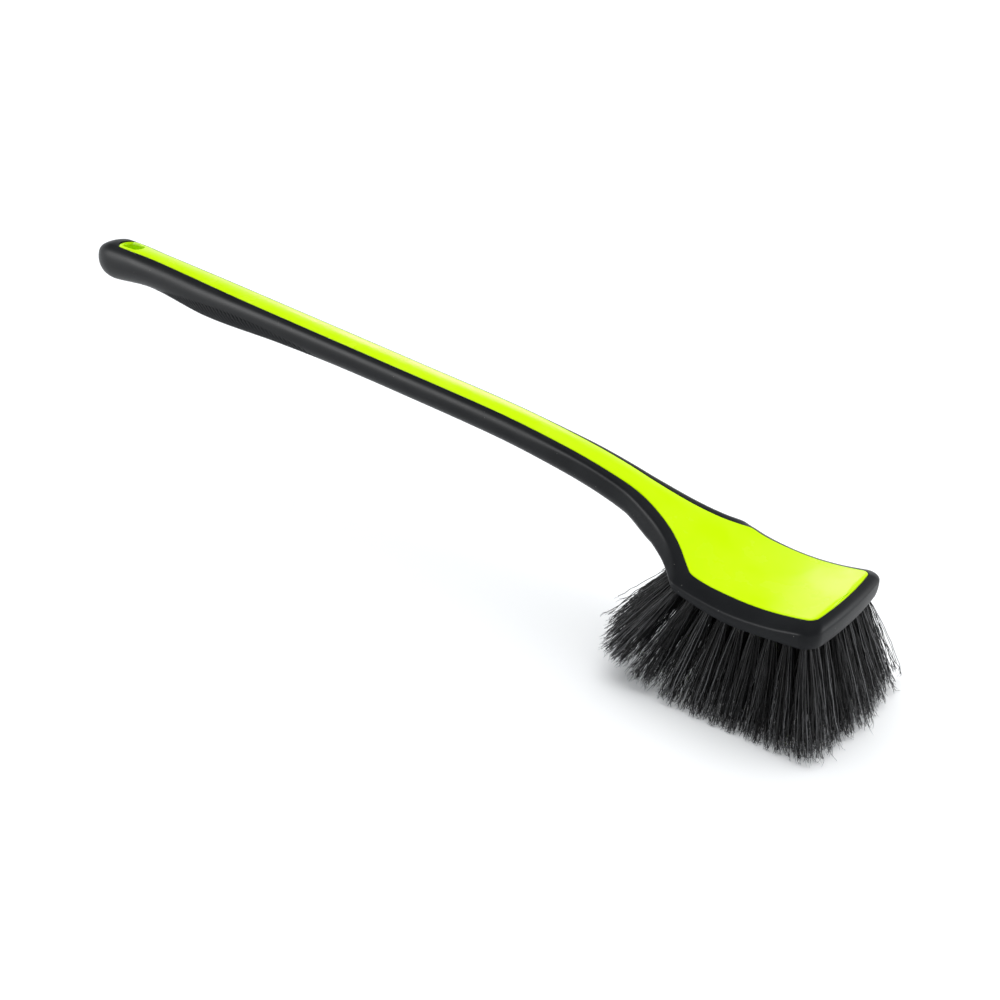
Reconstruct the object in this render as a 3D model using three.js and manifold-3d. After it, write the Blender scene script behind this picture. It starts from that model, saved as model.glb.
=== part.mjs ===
// Long-handled wheel brush, millimetres, +Z up, standing on its bristle tips.
//
// A stiff two-level core (spine, head block and hanging eye) carries a soft overmoulded skin
// that wraps the handle, the tail and the rim of the head. Bristle tufts sit in blind holes
// drilled into the underside of the head block.
//
// All sizes are worked out in the design frame: x = 0 at the middle of the head panel,
// +x towards the front of the head, z = 0 at the corners of the panel.

import * as THREE from 'three';
import { mergeVertices } from 'three/addons/utils/BufferGeometryUtils.js';
import Module from 'manifold-3d';

const wasm = await Module();
wasm.setup();

// ---------------------------------------------------------------- driving dimensions

const TAIL_END = -519.6;        // rearmost point of the skin
const TAIL_ROUND = 20;          // length over which the tail closes
const TAIL_BLUNTNESS = 0.9;     // 1 is an ellipse, less is blunter
const TAIL_RAKE = 0.1;          // forward slope of the tail's end face
const STRIP_END = -496.5;       // rear end of the bright strip
const HANDLE_FRONT = -78;       // the round handle section ends here
const RIM_REAR = -57;           // the neck's lower edge has become the rim of the head here
const HEAD_REAR = -36;          // the creased head section begins here
const BLOCK_REAR = -49.5;       // rear edge of the exposed underside of the head block
const CORNER_START = 28.5;      // where the front corners of the head begin
const GAP = 0.3;                // clearance between neighbouring solids
const STEP_LENGTH = 0.1;        // length of the step at the block's rear edge
const BEYOND = 5;               // how far cutters stand out of what they cut
const NO_DROP = 0.01;           // keeps a cutter's point count where its underside stays put

// Front edges of the head in plan: how far forward at the middle, and how much of that is bow.
const FRONT_PANEL = { x: 34.4, bow: 2.1 };
const FRONT_CREASE = { x: 38.9, bow: 2.6 };
const FRONT_RIM = { x: 38.3, bow: 2.6 };
const FRONT_BLOCK = { x: 34.9, bow: 2.4 };

const CROWN = 0.8;              // rise of the strip and panel at the middle
const BELLY = 0.5;              // sag of the handle's underside at the middle
const LOWER_FULLNESS = 0.38;    // roundness of the skin below its widest level
const RIM_TUCK = 1.2;           // lower edge of the rim inside its widest level
const HANDLE_FLAT = 0.34;       // share of the handle's width that is level underneath
const SKIN_UNDER = 3.5;         // skin thickness below the spine
const SKIN_SIDE = 4.5;          // skin thickness beside the spine and the block
const BLOCK_RECESS = 0.8;       // block underside above the lower edge of the rim

const EYE_X = -485.5;           // centre of the hanging eye
const EYE_HALF_LENGTH = 8;
const EYE_HALF_WIDTH = 3.4;
const EYE_FUNNEL = 1.8;         // how far the mouth of the eye flares
const EYE_FUNNEL_DEPTH = 4;

const HOLE_RADIUS = 2.3;
const HOLE_DEPTH = 6.4;
const TUFT_SIDES = 8;
const TUFT_BASE_RADIUS = 1.95;
const TUFT_LENGTH = 54;         // free length of a tuft
const TIP_DOME = 1.2;           // height of the domed end of a tuft
const HOLE_MOUTH = 4;           // how far a hole's cutter stands out of the block
const TUFT_COLLAR = 0.5;        // straight length outside the block before a tuft widens
const TUFT_WAIST = 0.45;        // share of a tuft's length where it has half widened
const RING_TIP_RADIUS = 4.5;
const INNER_TIP_RADIUS = 5.6;
const TRIM_LEVEL = -64.5;       // the longest tufts are cut level here
const SIDE_LEAN = 15.5;         // degrees, outermost rows

const RING_INSET = 4.3;         // from the edge of the block to the outermost tufts
const RING_SIDE = { count: 9, rear: -36, front: 29, y: 28.6 };
const RING_FRONT = { count: 7, x: 31.3, bow: 2, halfSpan: 21.6 };
const RING_REAR = { count: 7, x: -44, bow: 4, halfSpan: 21.6 };
const INNER = { columns: 6, rear: -32.5, front: 20.5, rows: [-18.6, -6.2, 6.2, 18.6], stagger: 2.6 };

const LIME = new THREE.MeshStandardMaterial({ color: 0xcdf500, roughness: 0.38, metalness: 0 });
const BLACK = new THREE.MeshStandardMaterial({ color: 0x1d1e20, roughness: 0.72, metalness: 0 });
const BRISTLE = new THREE.MeshStandardMaterial({ color: 0x161718, roughness: 0.6, metalness: 0 });

// ---------------------------------------------------------------- curves along the brush

// Smooth curve through [x, value] points, flat beyond both ends.
function curve(points) {
  const slope = points.map((point, i) => {
    const before = points[Math.max(i - 1, 0)];
    const after = points[Math.min(i + 1, points.length - 1)];
    return (after[1] - before[1]) / (after[0] - before[0]);
  });
  return (x) => {
    if (x <= points[0][0]) return points[0][1];
    if (x >= points.at(-1)[0]) return points.at(-1)[1];
    const i = points.findIndex((point) => point[0] > x) - 1;
    const span = points[i + 1][0] - points[i][0];
    const t = (x - points[i][0]) / span;
    const a = points[i][1];
    const b = points[i + 1][1];
    const ease = t * t * (3 - 2 * t);
    const enter = t * (1 - t) * (1 - t) * span * slope[i];
    const leave = t * t * (t - 1) * span * slope[i + 1];
    return a + (b - a) * ease + enter + leave;
  };
}

// Height of the strip and panel edge: long straight handle, neck, dished panel.
const topAt = curve([[-527, 70.2], [-490, 69], [-450, 66], [-363, 57.6], [-240, 46.2], [-167, 39.2],
  [-127, 33.4], [-100, 28], [-76, 21.2], [-54, 12], [-35, 2.6], [-25, -0.9], [-10, -2.9],
  [5, -3.4], [20, -2.1], [40, 1.4]]);

// Depth of the handle below the strip edge, deepest at the palm swell and the tail.
const depthAt = curve([[-527, 24.7], [-500, 24.6], [-462, 20.9], [-408, 23.3], [-340, 18.9],
  [-280, 16.6], [-180, 15.9], [-120, 16.4], [-90, 17.2], [-70, 18.2]]);

// Height of the lower edge of the head rim, and of the neck in front of the handle.
const rimAt = curve([[-70, 0], [-58, -2.6], [-45, -4.6], [-33, -8.6], [-21, -11.9], [-8, -14],
  [6, -14.1], [20, -13.2], [40, -11.6]]);

// Half width of the strip and panel.
const stripAt = curve([[-527, 6.8], [-480, 6.8], [-462, 6], [-430, 6.3], [-370, 7.1], [-84, 7.1],
  [-69, 8.8], [-54, 13.6], [-44, 19.3], [-35, 26.6], [-30.5, 29], [-20, 29.2], [28, 28.4]]);

// Half width of the skin at its widest level.
const widthAt = curve([[-527, 12.6], [-495, 12.6], [-455, 11.6], [-405, 12.2], [-340, 11.4],
  [-280, 11], [-120, 11], [-90, 11.6], [-76, 13.4], [-63, 18.2], [-52, 24.6], [-45, 30],
  [-39, 35.1], [-34, 36.7], [28, 36.3]]);

// Height of the widest level: half way down the handle, a crease around the head.
const creaseAt = curve([[-62, 5.2], [-50, 1.2], [-38, -2.8], [-27, -5.6], [-10, -8.2], [2, -8.4],
  [16, -7.2], [30, -4.6], [40, -3.6]]);

// Slope of the skin's shoulder where it leaves the strip, in degrees: nearly level at the neck.
const shoulderAt = curve([[-150, 27], [-112, 9], [-62, 2], [-42, 4], [-33, 20], [-27, 26]]);

// Fullness of the skin's shoulder: squarer at the neck than elsewhere.
const fullnessAt = curve([[-150, 0.38], [-108, 0.56], [-60, 0.6], [-42, 0.52], [-32, 0.38]]);

// Lean of a tuft along the brush, in degrees, by where it leaves the block.
const leanAt = curve([[-44, -36], [-40, -35], [-36, -31], [-28, -21], [-20, -14], [-12, -8], [-4, -3],
  [5, 0], [13, 4], [21, 9], [29, 14], [32, 17]]);

// Growth of the sideways lean towards the rear, where the tufts fan out below the neck.
const splayAt = curve([[-48, 1.8], [-28, 1]]);

const headness = (x) => THREE.MathUtils.smoothstep(x, HANDLE_FRONT, HEAD_REAR);

function bottomAt(x) {
  const handle = topAt(x) - depthAt(x);
  const blend = THREE.MathUtils.smoothstep(x, HANDLE_FRONT - 6, RIM_REAR);
  return THREE.MathUtils.lerp(handle, rimAt(x), blend);
}

function widestLevelAt(x) {
  const handle = topAt(x) - depthAt(x) / 2;
  const blend = THREE.MathUtils.smoothstep(x, HANDLE_FRONT - 6, RIM_REAR);
  return THREE.MathUtils.lerp(handle, creaseAt(x), blend);
}

// ---------------------------------------------------------------- meshes

// Closed mesh through rings that all have the same number of points.
function loft(rings) {
  const count = rings[0].length;
  const positions = rings.flat(2);
  const triangles = [];
  for (let i = 0; i + 1 < rings.length; i++) {
    for (let j = 0; j < count; j++) {
      const a = i * count + j;
      const b = i * count + (j + 1) % count;
      triangles.push(a, b + count, b, a, a + count, b + count);
    }
  }
  const last = (rings.length - 1) * count;
  for (let j = 1; j + 1 < count; j++) {
    triangles.push(0, j, j + 1);
    triangles.push(last, last + j + 1, last + j);
  }
  const geometry = new THREE.BufferGeometry();
  geometry.setAttribute('position', new THREE.Float32BufferAttribute(positions, 3));
  geometry.setIndex(triangles);
  return geometry;
}

function toSolid(geometry) {
  const bare = geometry.clone();
  bare.deleteAttribute('normal');
  bare.deleteAttribute('uv');
  const merged = mergeVertices(bare, 1e-3);
  const index = merged.index.array;
  const kept = [];
  for (let i = 0; i < index.length; i += 3) {
    const [a, b, c] = [index[i], index[i + 1], index[i + 2]];
    if (a !== b && b !== c && c !== a) kept.push(a, b, c);
  }
  const solid = new wasm.Manifold(new wasm.Mesh({
    numProp: 3,
    vertProperties: Float32Array.from(merged.attributes.position.array),
    triVerts: Uint32Array.from(kept),
  }));
  return solid;
}

function toGeometry(solid) {
  const mesh = solid.getMesh();
  const geometry = new THREE.BufferGeometry();
  geometry.setAttribute('position', new THREE.BufferAttribute(mesh.vertProperties, 3));
  geometry.setIndex(new THREE.BufferAttribute(mesh.triVerts, 1));
  geometry.computeVertexNormals();
  return geometry;
}

function makeMesh(name, solid, material) {
  const mesh = new THREE.Mesh(toGeometry(solid), material);
  mesh.name = name;
  return mesh;
}

// ---------------------------------------------------------------- stations and outlines

// Degrees round the tail and the rear end of the strip, then distances along the brush.
const TAIL_STATIONS = [90, 76, 60, 45, 30, 15];
const STRIP_END_STATIONS = [90, 60, 30, 0];
const HANDLE_STATIONS = [-500, -494, -484, -474, -462, -448, -430, -408, -385, -363, -335, -300,
  -260, -220, -180, -150, -127, -110, -96, -86];
const NECK_STATIONS = [-78, -71, -65, -60, -55.5, -51.5, -48, -45, -42, -39.5, -37, -34.5, -32,
  -29.5, -26];
const HEAD_STATIONS = [-19, -10, 0, 10, 20];
const FRONT_STATIONS = [0, 0.12, 0.25, 0.38, 0.5, 0.65, 0.82, 1];

const alongStations = [...HANDLE_STATIONS, ...NECK_STATIONS, ...HEAD_STATIONS];

// Plan outline of the front of the head: a rounded corner, then a bowed front edge.
// t runs from 0 at the start of the corner to 1 at the middle of the front.
function frontOutline(t, halfWidth, front) {
  const radius = front.x - front.bow - CORNER_START;
  const turn = Math.min(t, 0.5) * Math.PI;
  const inward = Math.max(2 * t - 1, 0);
  const y = (halfWidth - radius) * (1 - inward) + radius * Math.cos(turn);
  const x = CORNER_START + radius * Math.sin(turn);
  const bow = front.bow * (1 - (y / halfWidth) ** 2) * Math.sin(turn);
  return { x: x + bow, y: Math.max(y, 0) };
}

// Points of a cubic curve in (y, z) from a to b, leaving along angleA and arriving along angleB.
// Angles are degrees below the horizontal, outwards; a larger fullness gives a squarer curve.
function flank(a, b, angleA, angleB, fullness) {
  const steps = 3;
  const reach = fullness * Math.hypot(b.y - a.y, b.z - a.z);
  const radA = THREE.MathUtils.degToRad(angleA);
  const radB = THREE.MathUtils.degToRad(angleB);
  const bezier = new THREE.CubicBezierCurve(
    new THREE.Vector2(a.y, a.z),
    new THREE.Vector2(a.y + reach * Math.cos(radA), a.z - reach * Math.sin(radA)),
    new THREE.Vector2(b.y - reach * Math.cos(radB), b.z + reach * Math.sin(radB)),
    new THREE.Vector2(b.y, b.z),
  );
  return bezier.getPoints(steps).map((point, i) => {
    const t = i / steps;
    return { x: THREE.MathUtils.lerp(a.x, b.x, t), y: point.x, z: point.y };
  });
}

// Ring of the skin's outer surface through its land edge, widest level and lower edge.
// The half section is mirrored about y = 0; the land and the underside are crowned.
// On the handle (head = 0) the flank turns round; on the head (head = 1) it is creased.
function skinRing(land, widest, lower, head) {
  const aboveCrease = THREE.MathUtils.lerp(90, 46, head);
  const belowCrease = THREE.MathUtils.lerp(90, 88, head);
  const underside = THREE.MathUtils.lerp(178, 112, head);
  const upperHalf = flank(land, widest, shoulderAt(land.x), aboveCrease, fullnessAt(land.x));
  const lowerHalf = flank(widest, lower, belowCrease, underside, LOWER_FULLNESS).slice(1);
  const half = [...upperHalf, ...lowerHalf];
  const ring = [];
  const middle = [0.5, 0, -0.5];
  for (const point of half) ring.push([point.x, point.y, point.z]);
  for (const k of middle) {
    const sag = BELLY * (1 - head) * (1 - k * k);
    ring.push([lower.x, lower.y * k, lower.z - sag]);
  }
  for (const point of half.toReversed()) ring.push([point.x, -point.y, point.z]);
  for (const k of middle) ring.push([land.x, -land.y * k, land.z + CROWN * (1 - k * k)]);
  return ring;
}

function skinRingAt(x) {
  const head = headness(x);
  const width = widthAt(x);
  const land = { x, y: stripAt(x), z: topAt(x) };
  const widest = { x, y: width, z: widestLevelAt(x) };
  const lower = {
    x,
    y: THREE.MathUtils.lerp(HANDLE_FLAT * width, width - RIM_TUCK, head),
    z: bottomAt(x),
  };
  return skinRing(land, widest, lower, head);
}

// The tail closes as a rounded end: the section shrinks towards its own middle.
function tailRing(angle) {
  const turn = THREE.MathUtils.degToRad(angle);
  const start = TAIL_END + TAIL_ROUND;
  const scale = Math.cos(turn) ** TAIL_BLUNTNESS;
  const middle = widestLevelAt(start);
  return skinRingAt(start).map(([, y, z]) => {
    const rise = (z - middle) * scale;
    return [start - (TAIL_ROUND - TAIL_RAKE * rise) * Math.sin(turn), y * scale, middle + rise];
  });
}

function frontSkinRing(t) {
  const land = frontOutline(t, stripAt(CORNER_START), FRONT_PANEL);
  const widest = frontOutline(t, widthAt(CORNER_START), FRONT_CREASE);
  const lower = frontOutline(t, widthAt(CORNER_START) - RIM_TUCK, FRONT_RIM);
  land.z = topAt(land.x);
  widest.z = creaseAt(widest.x);
  lower.z = rimAt(lower.x);
  return skinRing(land, widest, lower, 1);
}

function outerBody() {
  return toSolid(loft([
    ...TAIL_STATIONS.map(tailRing),
    ...alongStations.map(skinRingAt),
    ...FRONT_STATIONS.map(frontSkinRing),
  ]));
}

// ---------------------------------------------------------------- core

// Ring of the core: crowned top, straight flanks, level underside.
// For use as a cutter, lift raises its top and drop lowers its underside.
function coreRing(top, under, lift, drop) {
  const ring = [];
  const across = [1, 0.5, 0, -0.5, -1];
  const crownAt = (k) => CROWN * (1 - k * k);
  ring.push([top.x, top.y, top.z]);
  ring.push([under.x, under.y, under.z]);
  if (drop) ring.push([under.x, under.y, under.z - drop]);
  for (const k of [0.5, 0, -0.5]) ring.push([under.x, under.y * k, under.z - drop]);
  if (drop) ring.push([under.x, -under.y, under.z - drop]);
  ring.push([under.x, -under.y, under.z]);
  ring.push([top.x, -top.y, top.z]);
  for (const k of across.toReversed()) {
    if (lift || Math.abs(k) < 1) ring.push([top.x, top.y * k, top.z + lift + crownAt(k)]);
  }
  return ring;
}

// The flank always aims at the block's lower edge; under the skin it stops short of it.
// grow widens the ring all round, for use as a cutter.
function coreRingAt(x, exposed, grow, lift, drop) {
  const top = { x, y: stripAt(x) + grow, z: topAt(x) };
  const foot = { x, y: widthAt(x) - SKIN_SIDE + grow, z: bottomAt(x) + BLOCK_RECESS };
  if (exposed) return coreRing(top, foot, lift, drop);
  const stop = bottomAt(x) + SKIN_UNDER - grow;
  const share = (top.z - stop) / (top.z - foot.z);
  const short = { x, y: THREE.MathUtils.lerp(top.y, foot.y, share), z: stop };
  return coreRing(top, short, lift, drop ? NO_DROP : 0);
}

// The strip and the spine below it end in a half round in front of the tail.
function coreTailRing(angle, grow, lift, drop) {
  const turn = THREE.MathUtils.degToRad(angle);
  const radius = stripAt(STRIP_END) + grow;
  const centre = STRIP_END + stripAt(STRIP_END);
  const x = centre - radius * Math.sin(turn);
  const ring = coreRingAt(x, false, grow, lift, drop);
  return ring.map(([px, y, z]) => [px, y * Math.cos(turn), z]);
}

function frontCoreRing(t, grow, lift, drop) {
  const grown = (front) => ({ x: front.x + grow, bow: front.bow });
  const top = frontOutline(t, stripAt(CORNER_START) + grow, grown(FRONT_PANEL));
  const foot = frontOutline(t, widthAt(CORNER_START) - SKIN_SIDE + grow, grown(FRONT_BLOCK));
  top.z = topAt(top.x);
  foot.z = rimAt(foot.x) + BLOCK_RECESS;
  return coreRing(top, foot, lift, drop);
}

function coreBody(grow, lift, drop) {
  const spineRear = STRIP_END + stripAt(STRIP_END);
  const spine = alongStations.filter((x) => x > spineRear && x < BLOCK_REAR);
  const block = alongStations.filter((x) => x > BLOCK_REAR);
  return toSolid(loft([
    ...STRIP_END_STATIONS.map((angle) => coreTailRing(angle, grow, lift, drop)),
    ...spine.map((x) => coreRingAt(x, false, grow, lift, drop)),
    coreRingAt(BLOCK_REAR - grow - STEP_LENGTH, false, grow, lift, drop),
    coreRingAt(BLOCK_REAR - grow, true, grow, lift, drop),
    ...block.map((x) => coreRingAt(x, true, grow, lift, drop)),
    ...FRONT_STATIONS.map((t) => frontCoreRing(t, grow, lift, drop)),
  ]));
}

// ---------------------------------------------------------------- hanging eye

// Upright slot with round ends, given as [height, half length, half width] levels.
function slotThrough(levels) {
  const cornersPerEnd = 7;
  const rings = levels.map(([z, halfLength, halfWidth]) => {
    const ring = [];
    for (let end = 0; end < 2; end++) {
      for (let i = 0; i < cornersPerEnd; i++) {
        const angle = Math.PI * (end + i / (cornersPerEnd - 1)) - Math.PI / 2;
        const shift = (end === 0 ? 1 : -1) * (halfLength - halfWidth);
        ring.push([EYE_X + shift + halfWidth * Math.cos(angle), halfWidth * Math.sin(angle), z]);
      }
    }
    return ring;
  });
  return toSolid(loft(rings));
}

function eyeCut(grow) {
  const top = topAt(EYE_X);
  const bottom = bottomAt(EYE_X);
  const throat = [EYE_HALF_LENGTH + grow, EYE_HALF_WIDTH + grow];
  const above = 3;
  const flare = EYE_FUNNEL * (EYE_FUNNEL_DEPTH + above) / EYE_FUNNEL_DEPTH;
  return slotThrough([
    [top + above, throat[0] + flare, throat[1] + flare],
    [top - EYE_FUNNEL_DEPTH, ...throat],
    [bottom - above, ...throat],
  ]);
}

// ---------------------------------------------------------------- tufts

function tuftAt(x, y, tipRadius) {
  const foot = new THREE.Vector3(x, y, bottomAt(x) + BLOCK_RECESS);
  const alongTilt = Math.tan(THREE.MathUtils.degToRad(leanAt(x)));
  const sideLean = SIDE_LEAN * splayAt(x) * y / RING_SIDE.y;
  const sideTilt = Math.tan(THREE.MathUtils.degToRad(sideLean));
  const direction = new THREE.Vector3(alongTilt, sideTilt, -1).normalize();
  return { foot, direction, tipRadius };
}

// Spots along one bowed row across the head.
function rowAcross({ count, x, bow, halfSpan }) {
  return Array.from({ length: count }, (_, i) => {
    const k = (2 * i) / (count - 1) - 1;
    return [x - bow * k * k * Math.sign(x), halfSpan * k];
  });
}

function ringSpots() {
  const { count, rear, front, y } = RING_SIDE;
  const side = Array.from({ length: count }, (_, i) => {
    const x = rear + ((front - rear) * i) / (count - 1);
    return [x, Math.min(y, widthAt(x) - SKIN_SIDE - RING_INSET)];
  });
  return [
    ...side.map(([x, half]) => [x, -half]),
    ...rowAcross(RING_FRONT),
    ...side.toReversed(),
    ...rowAcross(RING_REAR).toReversed(),
  ];
}

function innerSpots() {
  const { columns, rear, front, rows, stagger } = INNER;
  return rows.flatMap((y) => Array.from({ length: columns }, (_, i) => {
    const shift = Math.abs(y) > rows.at(-1) / 2 ? -stagger : stagger;
    return [rear + ((front - rear) * i) / (columns - 1) + shift, y];
  }));
}

// Solid turned about a tuft's own line; profile is [radius, distance from the foot].
function turnedAlong(tuft, profile) {
  const geometry = new THREE.LatheGeometry(
    profile.map(([radius, distance]) => new THREE.Vector2(radius, distance)),
    TUFT_SIDES,
  );
  const up = new THREE.Vector3(0, 1, 0);
  geometry.applyQuaternion(new THREE.Quaternion().setFromUnitVectors(up, tuft.direction));
  geometry.translate(tuft.foot.x, tuft.foot.y, tuft.foot.z);
  return toSolid(geometry);
}

function tuftHole(tuft) {
  return turnedAlong(tuft, [
    [0, -HOLE_DEPTH],
    [HOLE_RADIUS, -HOLE_DEPTH],
    [HOLE_RADIUS, HOLE_MOUTH],
    [0, HOLE_MOUTH],
  ]);
}

// Everything above the level the tufts are trimmed to.
function trimSlab() {
  const size = { x: 400, y: 200, z: 100 };
  const slab = new THREE.BoxGeometry(size.x, size.y, size.z);
  slab.translate(0, 0, TRIM_LEVEL + size.z / 2);
  return toSolid(slab);
}

function tuftSolid(tuft, slab) {
  const buried = HOLE_DEPTH - GAP;
  const waist = TUFT_WAIST * TUFT_LENGTH;
  const waistRadius = THREE.MathUtils.lerp(TUFT_BASE_RADIUS, tuft.tipRadius, 0.5);
  return turnedAlong(tuft, [
    [0, -buried],
    [TUFT_BASE_RADIUS, -buried],
    [TUFT_BASE_RADIUS, TUFT_COLLAR],
    [waistRadius, waist],
    [tuft.tipRadius, TUFT_LENGTH - TIP_DOME],
    [0, TUFT_LENGTH],
  ]).intersect(slab);
}

// ---------------------------------------------------------------- assembly

const ringTufts = ringSpots().map(([x, y]) => tuftAt(x, y, RING_TIP_RADIUS));
const innerTufts = innerSpots().map(([x, y]) => tuftAt(x, y, INNER_TIP_RADIUS));

function handleCore() {
  let core = coreBody(0, 0, 0).subtract(eyeCut(0));
  for (const tuft of [...ringTufts, ...innerTufts]) core = core.subtract(tuftHole(tuft));
  return core;
}

// The leaning outer tufts need small nicks in the inner edge of the rim.
function gripSkin() {
  let skin = outerBody().subtract(coreBody(GAP, BEYOND, BEYOND)).subtract(eyeCut(GAP));
  for (const tuft of ringTufts) skin = skin.subtract(tuftHole(tuft));
  return skin;
}

const group = new THREE.Group();
group.add(makeMesh('handle_core', handleCore(), LIME));
group.add(makeMesh('grip_overmould', gripSkin(), BLACK));

const slab = trimSlab();
const twoDigits = (i) => String(i + 1).padStart(2, '0');
ringTufts.forEach((tuft, i) => {
  group.add(makeMesh(`tuft_ring_${twoDigits(i)}`, tuftSolid(tuft, slab), BRISTLE));
});
innerTufts.forEach((tuft, i) => {
  group.add(makeMesh(`tuft_inner_${twoDigits(i)}`, tuftSolid(tuft, slab), BRISTLE));
});

// The frame's origin is the middle of the footprint, on the surface the brush stands on.
const bounds = new THREE.Box3().setFromObject(group, true);
group.position.set(-(bounds.min.x + bounds.max.x) / 2, 0, -bounds.min.z);

export default group;
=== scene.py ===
"""Wheel brush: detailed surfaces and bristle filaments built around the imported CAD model.

Shapes are worked out in the CAD's own design frame, in millimetres: x = 0 at the middle of the
head panel, +x towards the front, z = 0 at the panel's corners. to_row() turns them into metres
in the row frame.
"""

import math

import bmesh
import bpy
import numpy as np
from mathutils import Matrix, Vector


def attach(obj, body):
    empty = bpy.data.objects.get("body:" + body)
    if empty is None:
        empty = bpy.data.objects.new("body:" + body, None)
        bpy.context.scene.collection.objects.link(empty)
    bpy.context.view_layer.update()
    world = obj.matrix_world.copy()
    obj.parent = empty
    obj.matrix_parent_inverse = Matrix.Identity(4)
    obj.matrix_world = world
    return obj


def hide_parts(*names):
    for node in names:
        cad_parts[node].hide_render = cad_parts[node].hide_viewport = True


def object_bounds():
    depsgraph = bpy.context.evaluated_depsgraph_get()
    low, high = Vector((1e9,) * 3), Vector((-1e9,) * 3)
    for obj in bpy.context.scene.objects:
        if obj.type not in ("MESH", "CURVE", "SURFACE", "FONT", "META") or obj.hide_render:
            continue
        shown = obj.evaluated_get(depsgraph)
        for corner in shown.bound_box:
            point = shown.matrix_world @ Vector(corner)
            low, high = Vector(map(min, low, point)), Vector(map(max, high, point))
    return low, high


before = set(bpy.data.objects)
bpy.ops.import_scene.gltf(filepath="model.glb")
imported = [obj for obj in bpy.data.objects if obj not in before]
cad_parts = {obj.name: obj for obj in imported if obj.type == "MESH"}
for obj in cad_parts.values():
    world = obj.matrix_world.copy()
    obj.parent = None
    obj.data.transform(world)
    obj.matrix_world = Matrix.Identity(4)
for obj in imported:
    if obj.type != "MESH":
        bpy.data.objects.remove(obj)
cad_low, cad_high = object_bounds()

# ---------------------------------------------------------------- driving dimensions, mm

TAIL_END = -519.6
TAIL_ROUND = 20
TAIL_BLUNTNESS = 0.9
TAIL_RAKE = 0.1
STRIP_END = -496.5
HANDLE_FRONT = -78
RIM_REAR = -57
HEAD_REAR = -36
BLOCK_REAR = -49.5
CORNER_START = 28.5

FRONT_PANEL = (34.4, 2.1)       # how far forward in the middle, and how much of that is bow
FRONT_CREASE = (38.9, 2.6)
FRONT_RIM = (38.3, 2.6)
FRONT_BLOCK = (34.9, 2.4)

CROWN = 0.8
BELLY = 0.5
LOWER_FULLNESS = 0.38
# Slopes of the skin's flank on the handle and on the head, in degrees below the horizontal.
ABOVE_CREASE = (90, 46)
BELOW_CREASE = (90, 88)
AT_LOWER_EDGE = (178, 112)
RIM_TUCK = 1.2
HANDLE_FLAT = 0.34
SKIN_UNDER = 3.5
SKIN_SIDE = 4.5
BLOCK_RECESS = 0.8
SEAM_GAP = 0.12                 # between the core and the skin
SEAM_ROUND = 0.5                # edge radius of the strip and panel
FRONT_EDGE_ROUND = 0.8          # the same at the front of the panel
LIP_FLARE = 0.55                # how far the skin's rounded edge reaches along the seam
CREASE_ROUND = 0.9              # length on each side of the crease that is rounded

EYE_X = -485.5
EYE_HALF_LENGTH = 9
EYE_HALF_WIDTH = 4.2
EYE_FUNNEL = 0.6
EYE_FUNNEL_DEPTH = 1.2

RIB_REAR, RIB_FRONT = -452, -300
RIB_PITCH = 3.5
RIB_HEIGHT = 1
RIB_GROOVE = 0.24               # half width of a groove, as a share of the pitch
RIB_TOP = 0.52                  # how far up the flank the ribs reach at most, as a share
RIB_FADE = 0.06
RIB_SLANT = 0.8                 # shift along the handle for each mm up the side

HOLE_RADIUS = 2.3
HOLE_DEPTH = 6.4
TUFT_BASE_RADIUS = 1.95
TUFT_LENGTH = 54
TRIM_LEVEL = -64.5
SIDE_LEAN = 15.5
RING_INSET = 4.3
RING_SIDE = {"count": 9, "rear": -36, "front": 29, "y": 28.6}
RING_FRONT = {"count": 7, "x": 31.3, "bow": 2, "half_span": 21.6}
RING_REAR = {"count": 7, "x": -44, "bow": 4, "half_span": 21.6}
INNER_ROWS = (-18.6, -6.2, 6.2, 18.6)
INNER_COLUMNS = {"count": 6, "rear": -32.5, "front": 20.5, "stagger": 2.6}

STRANDS = {"ring": 88, "inner": 100}   # filaments in a tuft
STRAND_RADIUS = 0.23
ROOT_DEPTH = -2.5               # where the modelled filaments start inside their hole
RING_SPREAD = 6.8               # radius of a tuft at its tips
INNER_SPREAD = 8
OPENING = {"ring": 1.05, "inner": 0.7}  # below 1 a tuft opens out soon after its hole
SCATTER = 1.9                   # random sideways shift of a tip
CLUMPS = 14                     # in a tuft
CLUMPING = 0.45                 # how far filaments are drawn to their clump at most
STRAND_BOW = 1.7
CRIMP = (0.14, 0.56)            # least and greatest size of the waves in a filament
CRIMP_TURNS = (2, 5)
TIP_UNEVENNESS = 0.14           # share of its length that the shortest filament lacks
CUT_UNEVENNESS = 1.2
MOUTH_LOOPS = 3
STRAY_SHARE = 0.03
STRAY_REACH = 5
SIDE_START, SIDE_ROOM = 43, 5   # |y| where filaments bend back, and how much further they reach
FLAG_LENGTH = 7                 # split end of a filament
STRAND_STEPS = 13               # points along a filament
STRAND_SIDES = 3
HOLE_SIDES = 20
FLANK_FINE = 40                 # steps of a flank's curve before it is resampled
FLANK_POINTS = 15
BELLY_POINTS = 9
TOP_POINTS = 7
FLOOR_HALF_SIZE = 30            # metres
FLOOR_DROP = 0.0005             # metres
SEED = 7

WORLD_TINT = (0.93, 0.97, 1.0)
# Brightness of the surroundings against the sine of the elevation.
WORLD_TONES = ((0, 1.0), (0.3, 1.0), (0.46, 0.45), (0.58, 0.07), (1, 0.02))
FLOOR_GLOW = 0.14               # lifts the floor to the white of an overexposed backdrop

# Camera: angles in degrees, the rest in mm.
CAMERA_AZIMUTH = 39.37
CAMERA_ELEVATION = 27.27
CAMERA_DISTANCE = 617.3
CAMERA_LENS = 46.8
CAMERA_AIM = (-113.0, -72.2, 30.7)

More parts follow.
